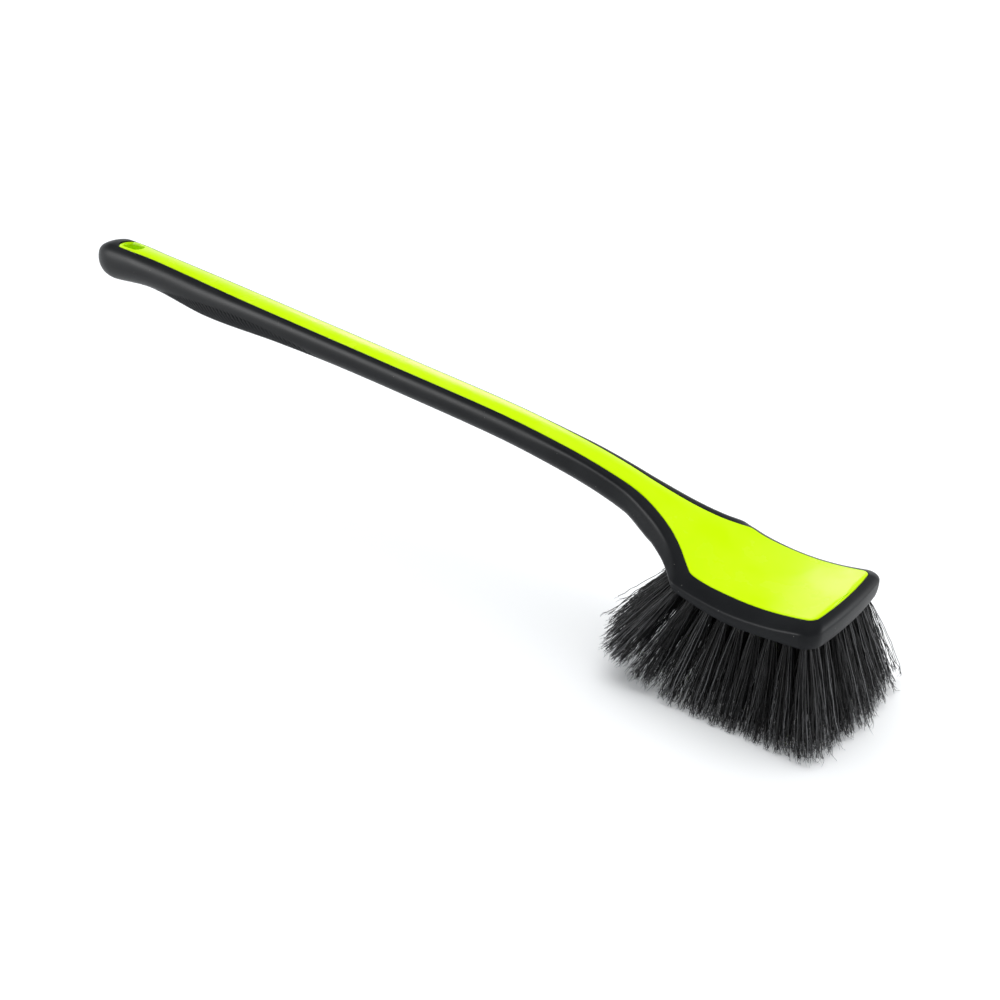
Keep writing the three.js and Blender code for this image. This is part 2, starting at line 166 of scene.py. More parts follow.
# The design frame's origin in the row frame, in mm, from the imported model's own box.
ORIGIN = np.array([cad_low.x * 1000 - TAIL_END, 0, cad_low.z * 1000 - TRIM_LEVEL])


def to_row(points):
    return (np.asarray(points, float) + ORIGIN) / 1000


# ---------------------------------------------------------------- curves along the brush


def curve(*points):
    """Smooth curve through (x, value) points, flat beyond both ends."""
    xs = [p[0] for p in points]
    ys = [p[1] for p in points]
    slopes = []
    for i in range(len(points)):
        a, b = max(i - 1, 0), min(i + 1, len(points) - 1)
        slopes.append((ys[b] - ys[a]) / (xs[b] - xs[a]))

    def at(x):
        if x <= xs[0]:
            return ys[0]
        if x >= xs[-1]:
            return ys[-1]
        i = next(k for k in range(len(xs)) if xs[k] > x) - 1
        span = xs[i + 1] - xs[i]
        t = (x - xs[i]) / span
        ease = t * t * (3 - 2 * t)
        enter = t * (1 - t) ** 2 * span * slopes[i]
        leave = t * t * (t - 1) * span * slopes[i + 1]
        return ys[i] + (ys[i + 1] - ys[i]) * ease + enter + leave

    return at


def smoothstep(x, low, high):
    t = min(max((x - low) / (high - low), 0), 1)
    return t * t * (3 - 2 * t)


def mix(a, b, t):
    return a + (b - a) * t


top_at = curve((-527, 70.2), (-490, 69), (-450, 66), (-363, 57.6), (-240, 46.2), (-167, 39.2),
               (-127, 33.4), (-100, 28), (-76, 21.2), (-54, 12), (-35, 2.6), (-25, -0.9),
               (-10, -2.9), (5, -3.4), (20, -2.1), (40, 1.4))
depth_at = curve((-527, 24.7), (-500, 24.6), (-462, 20.9), (-408, 23.3), (-340, 18.9),
                 (-280, 16.6), (-180, 15.9), (-120, 16.4), (-90, 17.2), (-70, 18.2))
rim_at = curve((-70, 0), (-58, -2.6), (-45, -4.6), (-33, -8.6), (-21, -11.9), (-8, -14),
               (6, -14.1), (20, -13.2), (40, -11.6))
strip_at = curve((-527, 6.8), (-480, 6.8), (-462, 6), (-430, 6.3), (-370, 7.1), (-84, 7.1),
                 (-69, 8.8), (-54, 13.6), (-44, 19.3), (-35, 26.6), (-32.8, 28.4), (-31.4, 29),
                 (-29, 29.2), (28, 28.4))
width_at = curve((-527, 12.6), (-495, 12.6), (-455, 11.6), (-405, 12.2), (-340, 11.4),
                 (-280, 11), (-120, 11), (-90, 11.6), (-76, 13.4), (-63, 18.2), (-52, 24.6),
                 (-45, 30.2), (-40, 35), (-38, 36.5), (-36.5, 36.8),
                 (28, 36.3))
crease_at = curve((-62, 5.2), (-50, 1.2), (-38, -2.8), (-27, -5.6), (-10, -8.2), (2, -8.4),
                  (16, -7.2), (30, -4.6), (40, -3.6))
shoulder_at = curve((-150, 22), (-112, 9), (-62, 2), (-40, 4), (-33, 18), (-27, 22))
fullness_at = curve((-150, 0.38), (-108, 0.56), (-60, 0.6), (-42, 0.52), (-32, 0.38))
splay_at = curve((-48, 1.8), (-28, 1))
lean_at = curve((-44, -36), (-40, -35), (-36, -31), (-28, -21), (-20, -14), (-12, -8), (-4, -3),
                (5, 0), (13, 4), (21, 9), (29, 14), (32, 17))


def headness(x):
    return smoothstep(x, HANDLE_FRONT, HEAD_REAR)


def bottom_at(x):
    return mix(top_at(x) - depth_at(x), rim_at(x), smoothstep(x, HANDLE_FRONT - 6, RIM_REAR))


def widest_level_at(x):
    handle = top_at(x) - depth_at(x) / 2
    return mix(handle, crease_at(x), smoothstep(x, HANDLE_FRONT - 6, RIM_REAR))


# ---------------------------------------------------------------- stations


def spaced(low, high, step):
    return list(np.linspace(low, high, max(2, round((high - low) / step) + 1))[:-1])


STATIONS = [
    *spaced(TAIL_END + TAIL_ROUND, RIB_REAR, 2),
    *spaced(RIB_REAR, RIB_FRONT, 0.45),
    *spaced(RIB_FRONT, -110, 3.5),
    *spaced(-110, -62, 1.6),
    *spaced(-62, -22, 0.8),
    *spaced(-22, CORNER_START, 2.2),
]
FRONT_STATIONS = list(np.linspace(0, 0.5, 19)) + list(np.linspace(0.5, 1, 14)[1:])


def front_outline(t, half_width, front):
    """Plan outline of the head's front, from the start of the corner to the middle."""
    reach, bow = front
    radius = reach - bow - CORNER_START
    turn = min(t, 0.5) * math.pi
    inward = max(2 * t - 1, 0)
    y = (half_width - radius) * (1 - inward) + radius * math.cos(turn)
    x = CORNER_START + radius * math.sin(turn)
    return x + bow * (1 - (y / half_width) ** 2) * math.sin(turn), max(y, 0)


# ---------------------------------------------------------------- sections of the skin


def direction(degrees):
    """Unit vector in (y, z), degrees below the horizontal, outwards."""
    return np.array([math.cos(math.radians(degrees)), -math.sin(math.radians(degrees))])


def bezier(a, b, c, d):
    t = np.linspace(0, 1, FLANK_FINE + 1)[:, None]
    return a * (1 - t) ** 3 + 3 * b * t * (1 - t) ** 2 + 3 * c * t * t * (1 - t) + d * t**3


def flank(a, b, angle_a, angle_b, fullness):
    """Cubic from a to b, points (x, y, z), with its shape in the (y, z) plane."""
    reach = fullness * np.linalg.norm(b[1:] - a[1:])
    shape = bezier(a[1:], a[1:] + reach * direction(angle_a),
                   b[1:] - reach * direction(angle_b), b[1:])
    xs = np.linspace(a[0], b[0], FLANK_FINE + 1)
    return np.column_stack([xs, shape])


def resampled(line, low, high):
    """Evenly spaced points along a line, leaving out low mm at its start and high mm at its end."""
    step = np.linalg.norm(np.diff(line, axis=0), axis=1)
    run = np.concatenate([[0], np.cumsum(step)])
    at = np.linspace(low, max(run[-1] - high, low + 1e-3), FLANK_POINTS)
    return np.column_stack([np.interp(at, run, line[:, k]) for k in range(3)])


def rounded_corner(before, corner, after):
    """Points of a small arc that replaces a corner."""
    t = np.linspace(0, 1, 7)[1:-1, None]
    return before * (1 - t) ** 2 + 2 * corner * t * (1 - t) + after * t * t


def skin_half(land, widest, lower, head):
    """Half section of the skin, from the seam round to the lower edge."""
    above, below = mix(*ABOVE_CREASE, head), mix(*BELOW_CREASE, head)
    upper = flank(land, widest, shoulder_at(land[0]), above, fullness_at(land[0]))
    under = flank(widest, lower, below, mix(*AT_LOWER_EDGE, head), LOWER_FULLNESS)
    upper = resampled(upper, 0, CREASE_ROUND)
    under = resampled(under, CREASE_ROUND, 0)
    return np.vstack([upper, rounded_corner(upper[-1], widest, under[0]), under])


def groove_depth(x, z, low, high):
    """Depth of the grooves between the grip ribs, over a lens-shaped patch of the lower flank."""
    along = (x - RIB_REAR) / (RIB_FRONT - RIB_REAR)
    if not 0 < along < 1:
        return 0
    patch = math.sin(math.pi * along) ** 0.5
    up = (z - low) / (high - low)
    edge = 1 - smoothstep(up, RIB_TOP * patch, RIB_TOP * patch + RIB_FADE)
    phase = (x + RIB_SLANT * (z - low)) / RIB_PITCH
    groove = max(0, 1 - abs(phase - math.floor(phase) - 0.5) / RIB_GROOVE)
    return RIB_HEIGHT * edge * min(1, 4 * patch * patch) * groove


def closed_skin_ring(half, land, lower, head):
    belly = []
    for k in np.linspace(1, -1, BELLY_POINTS + 2)[1:-1]:
        sag = BELLY * (1 - head) * (1 - k * k)
        belly.append([lower[0], lower[1] * k, lower[2] - sag])
    top = []
    for k in np.linspace(-1, 1, TOP_POINTS + 2)[1:-1]:
        top.append([land[0], land[1] * k, land[2] + CROWN * (1 - k * k)])
    return np.vstack([half, belly, half[::-1] * [1, -1, 1], top])


def skin_ring_at(x):
    head = headness(x)
    width = width_at(x)
    land = np.array([x, strip_at(x), top_at(x)])
    widest = np.array([x, width, widest_level_at(x)])
    lower = np.array([x, mix(HANDLE_FLAT * width, width - RIM_TUCK, head), bottom_at(x)])
    ring = closed_skin_ring(skin_half(land, widest, lower, head), land, lower, head)
    low, high = bottom_at(x) - BELLY, top_at(x)
    middle = np.array([0, widest[2]])
    for point in ring:
        outward = point[1:] - middle
        outward = outward / np.linalg.norm(outward)
        point[1:] -= outward * groove_depth(x, point[2], low, high)
    return ring


def tail_ring(turn):
    start = TAIL_END + TAIL_ROUND
    scale = math.cos(turn) ** TAIL_BLUNTNESS
    ring = skin_ring_at(start)
    middle = widest_level_at(start)
    rise = (ring[:, 2] - middle) * scale
    x = start - (TAIL_ROUND - TAIL_RAKE * rise) * math.sin(turn)
    return np.column_stack([x, ring[:, 1] * scale, middle + rise])


def front_skin_ring(t):
    """The head's section, carried round the front corner in plan."""
    x = CORNER_START
    tuck = width_at(x) - RIM_TUCK
    land = np.array([*front_outline(t, strip_at(x), FRONT_PANEL), 0])
    widest = np.array([*front_outline(t, width_at(x), FRONT_CREASE), 0])
    lower = np.array([*front_outline(t, tuck, FRONT_RIM), 0])
    land[2] = top_at(land[0])
    widest[2] = crease_at(widest[0])
    lower[2] = rim_at(lower[0])
    section = skin_half(np.array([x, strip_at(x), top_at(x)]),
                        np.array([x, width_at(x), crease_at(x)]),
                        np.array([x, tuck, rim_at(x)]), 1)
    half = []
    for _, y, z in section:
        if z >= crease_at(x):
            out = (y - strip_at(x)) / (width_at(x) - strip_at(x))
            down = (top_at(x) - z) / (top_at(x) - crease_at(x))
            a, b = land, widest
        else:
            out = (width_at(x) - y) / RIM_TUCK
            down = (crease_at(x) - z) / (crease_at(x) - rim_at(x))
            a, b = widest, lower
        half.append([*mix(a[:2], b[:2], out), mix(a[2], b[2], down)])
    half = np.array(half)
    return closed_skin_ring(half, land, lower, 1)


# ---------------------------------------------------------------- sections of the core


def straight_plan(x):
    """Place on the core's flank: share 0 at its top edge, 1 at the block's lower edge."""
    def at(share, offset):
        y = mix(strip_at(x), width_at(x) - SKIN_SIDE, share) + offset
        return np.array([x, y, mix(top_at(x), bottom_at(x) + BLOCK_RECESS, share)])
    return at


def front_plan(t):
    def at(share, offset):
        panel = (FRONT_PANEL[0] + offset, FRONT_PANEL[1])
        block = (FRONT_BLOCK[0] + offset, FRONT_BLOCK[1])
        top = front_outline(t, strip_at(CORNER_START) + offset, panel)
        foot = front_outline(t, width_at(CORNER_START) - SKIN_SIDE + offset, block)
        z = mix(top_at(top[0]), rim_at(foot[0]) + BLOCK_RECESS, share)
        return np.array([mix(top[0], foot[0], share), mix(top[1], foot[1], share), z])
    return at


def core_ring(at, stop, edge):
    """Section of the core: crowned top, rounded edges, straight flanks, level underside."""
    height = at(0, 0)[2] - at(1, 0)[2]
    inner = at(0, -edge)
    half = [inner * [1, k, 1] + [0, 0, CROWN * (1 - k * k)] for k in (0, 0.25, 0.5, 0.7, 0.85, 0.95)]
    inner = inner + [0, 0, CROWN * 0.04]
    outer = at(edge / height, 0)
    for t in np.linspace(0, 1, 6):
        half.append(inner * (1 - t) ** 2 + 2 * at(0, 0) * t * (1 - t) + outer * t * t)
    half += [at(stop, 0) * [1, k, 1] for k in (1, 0.75, 0.5, 0.25, 0)]
    return mirrored(half)


def cutter_ring(at, stop, drop):
    """Section of the space the core takes out of the skin; its mouth flares to round the lip."""
    height = at(0, 0)[2] - at(1, 0)[2]
    lift = np.array([0, 0, 5])
    half = [at(0, LIP_FLARE) * [1, k, 1] + lift for k in (0, 0.4, 0.8, 1)]
    for depth, share in ((-0.02, 1), (0.1, 0.6), (0.25, 0.3), (0.5, 0.08)):
        half.append(at(depth / height, SEAM_GAP + share * (LIP_FLARE - SEAM_GAP)))
    half.append(at(stop, SEAM_GAP))
    half += [at(stop, SEAM_GAP) * [1, k, 1] - [0, 0, drop] for k in (1, 0.75, 0.5, 0.25, 0)]
    return mirrored(half)


def mirrored(half):
    half = np.array(half, float)
    return np.vstack([half, half[-2:0:-1] * [1, -1, 1]])


def core_section(x, exposed, cutter):
    at = straight_plan(x)
    gap = SEAM_GAP if cutter else 0
    top, foot = at(0, 0)[2], at(1, 0)[2]
    stop = 1 if exposed else (top - bottom_at(x) - SKIN_UNDER + gap) / (top - foot)
    if cutter:
        return cutter_ring(at, stop, 5 if exposed else 0.01)
    return core_ring(at, stop, SEAM_ROUND)


def core_tail_section(turn, cutter):
    """The strip and the spine below it end in a half round."""
    centre = STRIP_END + strip_at(STRIP_END)
    ring = core_section(centre, False, cutter)
    x = centre - np.abs(ring[:, 1]) * math.sin(turn)
    rise = np.array([top_at(value) for value in x]) - top_at(centre)
    return np.column_stack([x, ring[:, 1] * math.cos(turn), ring[:, 2] + rise])


def front_core_section(t, cutter):
    if cutter:
        return cutter_ring(front_plan(t), 1, 5)
    return core_ring(front_plan(t), 1, mix(SEAM_ROUND, FRONT_EDGE_ROUND, smoothstep(t, 0.1, 0.5)))


# ---------------------------------------------------------------- mesh helpers


def new_object(name, mesh):
    piece = bpy.data.objects.new(name, mesh)
    bpy.context.scene.collection.objects.link(piece)
    return piece


def loft(name, rings):
    """Closed object through rings that all have the same number of points."""
    count = len(rings[0])
    points = to_row(np.vstack(rings))
    faces = []
    for i in range(len(rings) - 1):
        for j in range(count):
            a = i * count + j
            b = i * count + (j + 1) % count
            faces.append((a, b, b + count, a + count))
    for end in (0, len(rings) - 1):
        if np.ptp(rings[end][:, 1]) > 0.01:
            faces.append(tuple(range(end * count, (end + 1) * count)))
    mesh = bpy.data.meshes.new(name)
    mesh.from_pydata([tuple(p) for p in points], [], faces)
    clean = bmesh.new()
    clean.from_mesh(mesh)
    bmesh.ops.remove_doubles(clean, verts=clean.verts, dist=2e-6)
    bmesh.ops.dissolve_degenerate(clean, edges=clean.edges, dist=1e-6)
    bmesh.ops.recalc_face_normals(clean, faces=clean.faces)
    clean.to_mesh(mesh)
    clean.free()
    return new_object(name, mesh)


def cut(piece, cutter):
    """Takes the cutter's volume away from the piece, then removes the cutter."""
    modifier = piece.modifiers.new("cut", "BOOLEAN")
    modifier.operation = "DIFFERENCE"
    modifier.solver = "EXACT"
    modifier.object = cutter
    done = piece.evaluated_get(bpy.context.evaluated_depsgraph_get())
    mesh = bpy.data.meshes.new_from_object(done)
    piece.modifiers.clear()
    old = piece.data
    piece.data = mesh
    bpy.data.meshes.remove(old)
    bpy.data.objects.remove(cutter)


def shade_smooth(piece, degrees):
    piece.data.polygons.foreach_set("use_smooth", [True] * len(piece.data.polygons))
    piece.data.set_sharp_from_angle(angle=math.radians(degrees))


# ---------------------------------------------------------------- core and skin


def core_body(name, cutter):
    step = BLOCK_REAR - (SEAM_GAP if cutter else 0)
    centre = STRIP_END + strip_at(STRIP_END)
    spine = [x for x in STATIONS if centre < x < step - 0.3]
    block = [x for x in STATIONS if x > step + 0.1]
    turns = np.radians(np.linspace(90, 0, 19))
    return loft(name, [
        *[core_tail_section(turn, cutter) for turn in turns],
        *[core_section(x, False, cutter) for x in spine],
        core_section(step - 0.1, False, cutter),
        core_section(step, True, cutter),
        *[core_section(x, True, cutter) for x in block],
        *[front_core_section(t, cutter) for t in FRONT_STATIONS],
    ])


def slot_ring(half_length, half_width, z):
    ring = []
    for side in (1, -1):
        for i in range(17):
            angle = math.pi * (i / 16) - math.pi / 2
            shift = half_length - half_width
            x = EYE_X + side * (shift + half_width * math.cos(angle))
            ring.append([x, side * half_width * math.sin(angle), z])
    return np.array(ring)


def eye_cutter(grow):
    """Slot with a flared, rounded mouth."""
    top = top_at(EYE_X) + 0.5
    rings = []
    for i in range(9):
        share = i / 8
        flare = EYE_FUNNEL * share**1.6 + grow
        level = top - EYE_FUNNEL_DEPTH * (1 - share)
        rings.append(slot_ring(EYE_HALF_LENGTH + flare, EYE_HALF_WIDTH + flare, level))
    mouth = EYE_FUNNEL * 1.9 + grow
    rings.append(slot_ring(EYE_HALF_LENGTH + mouth, EYE_HALF_WIDTH + mouth, top + 2))
    foot = slot_ring(EYE_HALF_LENGTH + grow, EYE_HALF_WIDTH + grow, bottom_at(EYE_X) - 4)
    return loft("eye_cutter", [foot, *rings])


def make_core(tufts):
    core = core_body("core_moulding", False)
    cut(core, eye_cutter(0))
    cut(core, hole_cutters(tufts))
    shade_smooth(core, 32)
    return core


def make_skin(tufts):
    turns = np.radians(np.linspace(89.5, 3, 24))
    skin = loft("grip_skin", [
        *[tail_ring(turn) for turn in turns],
        *[skin_ring_at(x) for x in STATIONS],
        *[front_skin_ring(t) for t in FRONT_STATIONS],
    ])
    cut(skin, core_body("core_cutter", True))
    cut(skin, eye_cutter(SEAM_GAP))
    cut(skin, hole_cutters([tuft for tuft in tufts if tuft["group"].startswith("ring")]))
    shade_smooth(skin, 32)
    return skin


# ---------------------------------------------------------------- tufts


def tuft(group, number, x, y, spread):
    foot = np.array([x, y, bottom_at(x) + BLOCK_RECESS])
    aim = np.array([
        math.tan(math.radians(lean_at(x))),
        math.tan(math.radians(SIDE_LEAN * splay_at(x) * y / RING_SIDE["y"])),
        -1,
    ])
    kind = "inner" if group.startswith("inner") else "ring"
    return {
        "group": group,
        "node": f"tuft_{kind}_{number:02d}",
        "foot": foot,
        "aim": aim / np.linalg.norm(aim),
        "strands": STRANDS[kind],
        "opening": OPENING[kind],
        "spread": spread,
    }


def row_across(row):
    spots = []
    for i in range(row["count"]):
        k = 2 * i / (row["count"] - 1) - 1
        spots.append((row["x"] - row["bow"] * k * k * math.copysign(1, row["x"]), row["half_span"] * k))
    return spots


def all_tufts():
    """The CAD's tufts, numbered as its nodes are."""
    side = []
    for i in range(RING_SIDE["count"]):
        x = mix(RING_SIDE["rear"], RING_SIDE["front"], i / (RING_SIDE["count"] - 1))
        side.append((x, min(RING_SIDE["y"], width_at(x) - SKIN_SIDE - RING_INSET)))
    ring = [("ring_right", x, -y) for x, y in side]
    ring += [("ring_front", x, y) for x, y in row_across(RING_FRONT)]
    ring += [("ring_left", x, y) for x, y in reversed(side)]
    ring += [("ring_rear", x, y) for x, y in reversed(row_across(RING_REAR))]
    tufts = [tuft(group, i + 1, x, y, RING_SPREAD) for i, (group, x, y) in enumerate(ring)]
    number = 0
    for row, y in enumerate(INNER_ROWS):
        outer = abs(y) > INNER_ROWS[-1] / 2
        shift = -INNER_COLUMNS["stagger"] if outer else INNER_COLUMNS["stagger"]
        for i in range(INNER_COLUMNS["count"]):
            number += 1
            share = i / (INNER_COLUMNS["count"] - 1)
            x = mix(INNER_COLUMNS["rear"], INNER_COLUMNS["front"], share) + shift
            tufts.append(tuft(f"inner_row_{row + 1}", number, x, y, INNER_SPREAD))
    return tufts


def across(aim):
    """Two unit vectors square to aim."""
    side = np.cross(aim, [0, 1, 0])
    side /= np.linalg.norm(side)
    return side, np.cross(aim, side)


def hole_cutters(tufts):
    """One object that holds the cutter of every hole."""
    sides = HOLE_SIDES
    verts, faces = [], []
    for item in tufts:
        u, v = across(item["aim"])
        start = len(verts)
        for distance in (-HOLE_DEPTH, 4):
            for i in range(sides):
                angle = 2 * math.pi * i / sides
                offset = HOLE_RADIUS * (math.cos(angle) * u + math.sin(angle) * v)
                verts.append(item["foot"] + item["aim"] * distance + offset)
        for i in range(sides):
            j = (i + 1) % sides
            faces.append((start + i, start + j, start + sides + j, start + sides + i))
        faces.append(tuple(start + i for i in reversed(range(sides))))
        faces.append(tuple(start + sides + i for i in range(sides)))
    mesh = bpy.data.meshes.new("hole_cutters")
    mesh.from_pydata([tuple(p) for p in to_row(verts)], [], faces)
    clean = bmesh.new()
    clean.from_mesh(mesh)
    bmesh.ops.recalc_face_normals(clean, faces=clean.faces)
    clean.to_mesh(mesh)
    clean.free()
    return new_object("hole_cutters", mesh)


def in_disc(rng, n):
    angle = rng.random(n) * 2 * math.pi
    return np.sqrt(rng.random(n))[:, None] * np.column_stack([np.cos(angle), np.sin(angle)])


def tuft_strands(item, rng):
    """Centre lines, radii and tones of one tuft's filaments; the tones hold painted glints and painted
    shade.
    """
    n, steps = item["strands"], STRAND_STEPS
    foot, aim = item["foot"], item["aim"]
    u, v = across(aim)
    s = np.linspace(0, 1, steps)

    unit = in_disc(rng, n)
    clumps = in_disc(rng, CLUMPS)
    nearest = np.argmin(((unit[:, None] - clumps[None]) ** 2).sum(-1), axis=1)
    pull = CLUMPING * rng.random((n, 1))
    tip = unit * (1 - pull) + clumps[nearest] * pull
    tip = tip * item["spread"] + SCATTER * rng.standard_normal((n, 2))
    stray = rng.random((n, 1)) < STRAY_SHARE
    tip = np.where(stray, tip + STRAY_REACH * rng.standard_normal((n, 2)), tip)

    length = TUFT_LENGTH * (1.01 - TIP_UNEVENNESS * rng.random(n) ** 1.6)
    reach = ROOT_DEPTH + (length[:, None] - ROOT_DEPTH) * s
    spread = np.clip(reach / TUFT_LENGTH, 0, 1)[..., None]
    opened = spread ** item["opening"]
    offset = TUFT_BASE_RADIUS * unit[:, None] * (1 - opened) + tip[:, None] * opened
    bow = STRAND_BOW * rng.standard_normal((n, 1, 2))
    offset = offset + bow * (spread - spread**2) * 2
    for axis in (0, 1):
        phase = rng.random((n, 1)) * 2 * math.pi
        turns = mix(*CRIMP_TURNS, rng.random((n, 1)))
        size = mix(*CRIMP, rng.random((n, 1)) ** 2)
        offset[..., axis] += size * spread[..., 0] * np.sin(phase + 2 * math.pi * turns * s)

    lines = foot + reach[..., None] * aim + offset[..., :1] * u + offset[..., 1:] * v
    lines = trimmed(lines, rng)
    radii = STRAND_RADIUS * (1 - 0.2 * s)[None] * (0.8 + 0.35 * rng.random((n, 1)))
    # A random tone for each filament, a few light ones as painted glints, scaled darker towards the
    # root as painted shade under the head.
    tones_and_glints = rng.random((n, 1)) ** 4 * (0.3 + 0.7 * s)[None]
    return held_in(lines), radii, tones_and_glints


def trimmed(lines, rng):
    """Shortens filaments that would pass the level the tips are cut to."""
    level = TRIM_LEVEL + 0.2 + CUT_UNEVENNESS * rng.random(len(lines)) ** 2
    whole = np.arange(lines.shape[1])
    out = []
    for line, low in zip(lines, level):
        keep = 1 - max(low - line[-1, 2], 0) / (line[0, 2] - line[-1, 2])
        at = np.linspace(0, keep, len(line)) * whole[-1]
        out.append(np.column_stack([np.interp(at, whole, line[:, k]) for k in range(3)]))
    return np.array(out)


def held_in(lines):
    """Bends the outermost filaments back so that the brush keeps its width."""
    over = np.abs(lines[..., 1]) - SIDE_START
    held = SIDE_START + SIDE_ROOM * np.tanh(over / SIDE_ROOM)
    lines[..., 1] = np.where(over > 0, np.sign(lines[..., 1]) * held, lines[..., 1])
    return lines


def mouth_loops(item, rng):
    """Filaments folded over at the hole's mouth."""
    n, steps = MOUTH_LOOPS, 7
    u, v = across(item["aim"])
    s = np.linspace(0, 1, steps)
    angle = rng.random((n, 1)) * 2 * math.pi + math.pi * 0.6 * (s - 0.5)
    out = TUFT_BASE_RADIUS * (0.75 + 0.35 * np.sin(math.pi * s))
    height = (1.2 + 2.4 * rng.random((n, 1))) * np.sin(math.pi * s) - 0.6
    lines = (item["foot"] + height[..., None] * item["aim"]
             + (out * np.cos(angle))[..., None] * u + (out * np.sin(angle))[..., None] * v)
    # The loops get a light tone of 0.9, a painted highlight where they fold at the mouth.
    return lines, np.full((n, steps), STRAND_RADIUS), np.full((n, steps), 0.9)


def split_ends(lines, radii, tones_and_glints, rng):
    """Two fine hairs that leave each filament near its tip."""
    n, steps = len(lines), 5
    s = np.linspace(0, 1, steps)
    last = lines[:, -1] - lines[:, -2]
    last /= np.linalg.norm(last, axis=1)[:, None]
    made = []
    for _ in range(2):
        begin = mix(lines[:, -2], lines[:, -1], rng.random((n, 1)) * 0.9)
        length = FLAG_LENGTH * (0.3 + 0.7 * rng.random((n, 1, 1)))
        side = rng.standard_normal((n, 1, 3)) * [1, 1, 0.4]
        curl = rng.standard_normal((n, 1, 3)) * [1, 1, 0.3]
        bend = 0.8 * side * s[None, :, None] ** 1.3 + 0.4 * curl * np.sin(4 * s)[None, :, None]
        line = begin[:, None] + last[:, None] * length * s[None, :, None] + bend
        line[..., 2] = np.maximum(line[..., 2], TRIM_LEVEL + 0.15)
        thin = radii[:, -1:] * (0.8 - 0.4 * s)[None]
        # The split ends get mostly light tones, painted glints on the fine hairs.
        tone = np.repeat(0.2 + 0.8 * rng.random((n, 1)) ** 2, steps, axis=1)
        made.append((held_in(line), thin, tone))
    return made


def tube_arrays(lines, radii, tones_and_glints):
    """Closed tubes along many centre lines at once."""
    n, steps, _ = lines.shape
    sides = STRAND_SIDES
    tangent = np.gradient(lines, axis=1)
    tangent /= np.maximum(np.linalg.norm(tangent, axis=2), 1e-9)[..., None]
    first = np.cross(tangent, [0.9, 0.1, 0.3])
    first /= np.linalg.norm(first, axis=2)[..., None]
    second = np.cross(tangent, first)
    angles = np.arange(sides) * 2 * math.pi / sides
    ring = np.cos(angles)[:, None] * first[:, :, None] + np.sin(angles)[:, None] * second[:, :, None]
    points = lines[:, :, None] + ring * radii[:, :, None, None]
    index = np.arange(n * steps * sides).reshape(n, steps, sides)
    a, b = index[:, :-1], np.roll(index, -1, axis=2)[:, :-1]
    c, d = np.roll(index, -1, axis=2)[:, 1:], index[:, 1:]
    quads = np.stack([a, b, c, d], axis=-1).reshape(-1, 4)
    caps = np.concatenate([index[:, 0, ::-1], index[:, -1]])
    return points.reshape(-1, 3), quads, caps, np.repeat(tones_and_glints.reshape(-1), sides)


def strand_object(name, batches):
    points, faces, tones_and_glints, start = [], [], [], 0
    for lines, radii, tone in batches:
        p, quads, caps, t = tube_arrays(lines, radii, tone)
        points.append(p)
        tones_and_glints.append(t)
        faces += (quads + start).tolist() + (caps + start).tolist()
        start += len(p)
    mesh = bpy.data.meshes.new(name)
    mesh.from_pydata(to_row(np.vstack(points)).tolist(), [], faces)
    mesh.polygons.foreach_set("use_smooth", [True] * len(mesh.polygons))
    # Per-vertex tone that carries the filaments' painted glints and painted shade.
    tone = mesh.attributes.new("strand_tone_and_glint", "FLOAT", "POINT")
    tone.data.foreach_set("value", np.concatenate(tones_and_glints).astype(np.float32))
    return new_object(name, mesh)


def make_bristles(tufts):
    rng = np.random.default_rng(SEED)
    groups = {}
    for item in tufts:
        groups.setdefault(item["group"], []).append(item)
    made = []
    for group, members in groups.items():
        batches = []
        for item in members:
            strands = tuft_strands(item, rng)
            batches.append(strands)
            batches += split_ends(*strands, rng)
            batches.append(mouth_loops(item, rng))
        piece = strand_object(f"bristles_{group}", batches)
        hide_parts(*[item["node"] for item in members])
        made.append(piece)
    return made


# ---------------------------------------------------------------- materials


def new_material(name):
    material = bpy.data.materials.new(name)
    material.use_nodes = True
    nodes = material.node_tree.nodes
    return material, nodes, material.node_tree.links, nodes["Principled BSDF"]


def noise(nodes, links, scale, detail, coordinates):
    texture = nodes.new("ShaderNodeTexNoise")
    texture.inputs["Scale"].default_value = scale
    texture.inputs["Detail"].default_value = detail
    links.new(coordinates, texture.inputs["Vector"])
    return texture.outputs["Fac"]


def ramp(nodes, links, source, low, high, color_low, color_high):
    blend = nodes.new("ShaderNodeValToRGB")
    blend.color_ramp.elements[0].position = low
    blend.color_ramp.elements[1].position = high
    blend.color_ramp.elements[0].color = (*color_low, 1)
    blend.color_ramp.elements[1].color = (*color_high, 1)
    links.new(source, blend.inputs["Fac"])
    return blend.outputs["Color"]


def between(nodes, links, source, low, high):
    spread = nodes.new("ShaderNodeMapRange")
    spread.inputs["To Min"].default_value = low
    spread.inputs["To Max"].default_value = high
    links.new(source, spread.inputs["Value"])
    return spread.outputs["Result"]


def bump(nodes, links, height, strength, distance):
    node = nodes.new("ShaderNodeBump")
    node.inputs["Strength"].default_value = strength
    node.inputs["Distance"].default_value = distance
    links.new(height, node.inputs["Height"])
    return node.outputs["Normal"]


